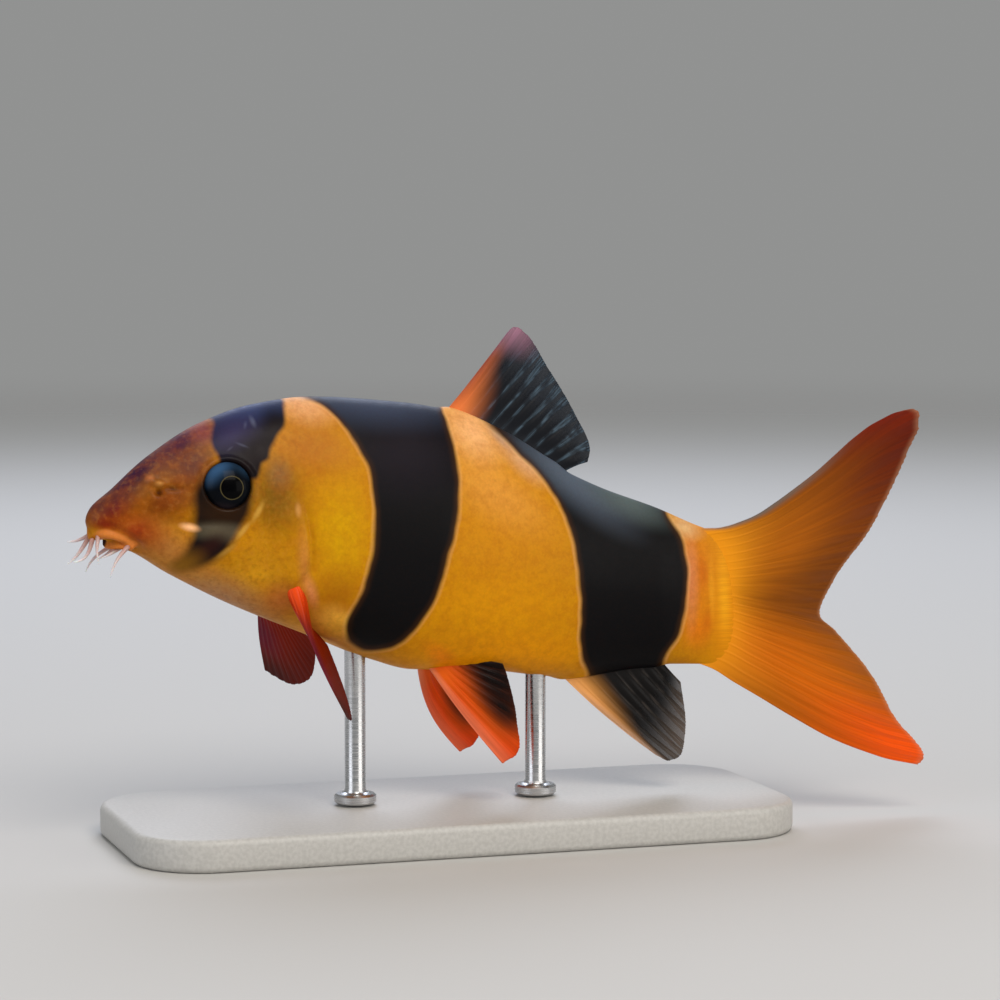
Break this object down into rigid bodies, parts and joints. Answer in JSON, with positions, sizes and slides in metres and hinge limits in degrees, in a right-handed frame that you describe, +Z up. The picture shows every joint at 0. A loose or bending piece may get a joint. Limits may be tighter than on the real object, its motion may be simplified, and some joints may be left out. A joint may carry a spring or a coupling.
{
  "type": "clown loach model",
  "caption": "Life-size still model of a young clown loach, swimming, with fins spread, on a flat base with two short rods.",
  "frame": {"origin": "centre of the base's underside, on the surface that the stand rests on", "axes": "+Z up; the fish faces -X and its left flank faces -Y"},
  "size_m": [0.1104, 0.036, 0.0628],
  "materials": {
    "skin": "golden orange skin with three black bands, satin with a wet sheen",
    "amber_fin": "translucent amber tail fin with red tips",
    "red_fin": "translucent orange-red paired fins",
    "dark_fin": "blackish fins with an orange leading edge",
    "eye": "glossy dark eye",
    "barbel": "pale pinkish barbels",
    "rod": "satin turned steel",
    "base": "pale grey satin lacquer on steel plate"
  },
  "bodies": {
    "root": {"head": "skin", "trunk": "skin", "tail": "skin", "tail_fin_upper": "amber_fin", "tail_fin_lower": "amber_fin", "pectoral_fin_left": "red_fin", "pectoral_fin_right": "red_fin", "pelvic_fin_left": "red_fin", "pelvic_fin_right": "red_fin", "dorsal_fin": "dark_fin", "anal_fin": "dark_fin", "eye_left": "eye", "eye_right": "eye", "barbel_snout_inner_left": "barbel", "barbel_snout_inner_right": "barbel", "barbel_snout_outer_left": "barbel", "barbel_snout_outer_right": "barbel", "barbel_mouth_corner_left": "barbel", "barbel_mouth_corner_right": "barbel", "barbel_chin_left": "barbel", "barbel_chin_right": "barbel", "stand_rod_front": "rod", "stand_rod_rear": "rod", "stand_base": "base"}
  },
  "joints": []
}
